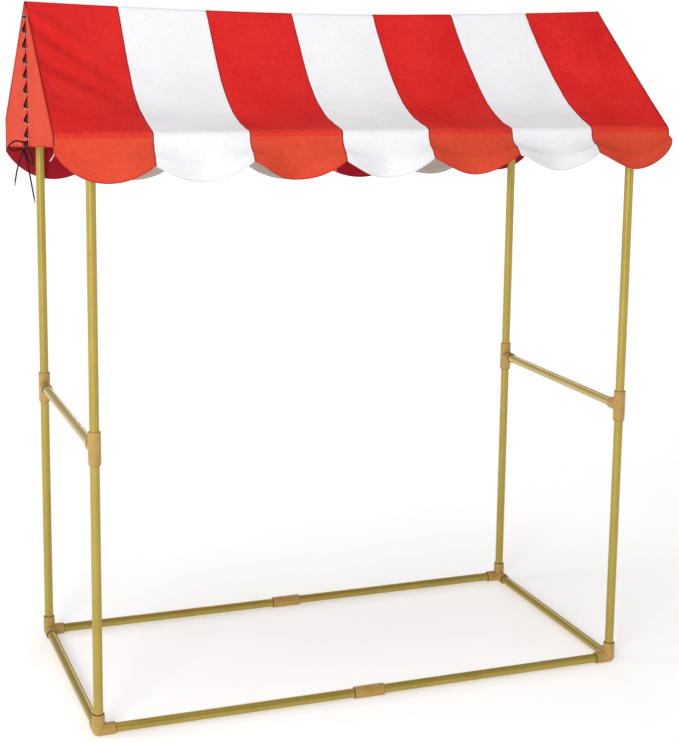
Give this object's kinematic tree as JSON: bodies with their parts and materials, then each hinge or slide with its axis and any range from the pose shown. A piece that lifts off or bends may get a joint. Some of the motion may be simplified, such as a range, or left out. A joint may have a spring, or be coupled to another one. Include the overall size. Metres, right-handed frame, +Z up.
{
  "type": "play stall with canopy",
  "caption": "Free-standing stall: a push-fit tube frame under a striped, scalloped canopy cover with a laced gable.",
  "frame": {"origin": "on the floor under the middle of the stall", "axes": "+X to the right of a person facing the front, -Y towards the front, +Z up"},
  "size_m": [1.3208, 0.597, 1.4243],
  "materials": {
    "tube": "satin mustard-gold plastic tube",
    "fitting": "moulded tan-gold plastic",
    "canopy_cloth": "woven polyester, red and white stripes",
    "gable_cloth": "woven polyester, red",
    "lace": "black round cord",
    "tie": "white sewing cord",
    "eyelet": "rolled eyelet"
  },
  "bodies": {
    "lower_frame": {"base_back_coupling": "fitting", "base_back_rail_left": "tube", "base_back_rail_right": "tube", "base_corner_back_left": "fitting", "base_corner_back_right": "fitting", "base_corner_front_left": "fitting", "base_corner_front_right": "fitting", "base_front_coupling": "fitting", "base_front_rail_left": "tube", "base_front_rail_right": "tube", "base_left_rail": "tube", "base_right_rail": "tube", "lower_post_back_left": "tube", "lower_post_back_right": "tube", "lower_post_front_left": "tube", "lower_post_front_right": "tube", "side_bar_left": "tube", "side_bar_right": "tube", "side_tee_back_left": "fitting", "side_tee_back_right": "fitting", "side_tee_front_left": "fitting", "side_tee_front_right": "fitting"},
    "upper_frame": {"eave_back_rail_left": "tube", "eave_back_rail_right": "tube", "eave_corner_back_left": "fitting", "eave_corner_back_right": "fitting", "eave_corner_front_left": "fitting", "eave_corner_front_right": "fitting", "eave_couplings": "fitting", "eave_front_rail_left": "tube", "eave_front_rail_right": "tube", "eave_tee_back_left": "fitting", "eave_tee_back_right": "fitting", "eave_tee_front_left": "fitting", "eave_tee_front_right": "fitting", "end_rail_left": "tube", "end_rail_right": "tube", "end_tee_left": "fitting", "end_tee_right": "fitting", "king_post_left": "tube", "king_post_right": "tube", "ridge_coupling": "fitting", "ridge_elbow_left": "fitting", "ridge_elbow_right": "fitting", "ridge_tube_left": "tube", "ridge_tube_right": "tube", "upper_post_back_left": "tube", "upper_post_back_right": "tube", "upper_post_front_left": "tube", "upper_post_front_right": "tube"},
    "canopy": {"canopy_cover": "canopy_cloth", "gable_flap_front": "gable_cloth", "gable_flap_back": "gable_cloth", "gable_right": "gable_cloth", "lace": "lace", "lace_end_outer": "lace", "lace_end_inner": "lace", "corner_tie": "tie", "front_tie": "tie", "eyelets": "eyelet"}
  },
  "joints": [
    {"name": "upper_frame_lift", "type": "slide", "parent": "lower_frame", "child": "upper_frame", "axis": [0, 0, 1], "range_m": [0, 0.06]},
    {"name": "canopy_lift", "type": "slide", "parent": "upper_frame", "child": "canopy", "axis": [0, 0, 1], "range_m": [0, 0.4]}
  ]
}
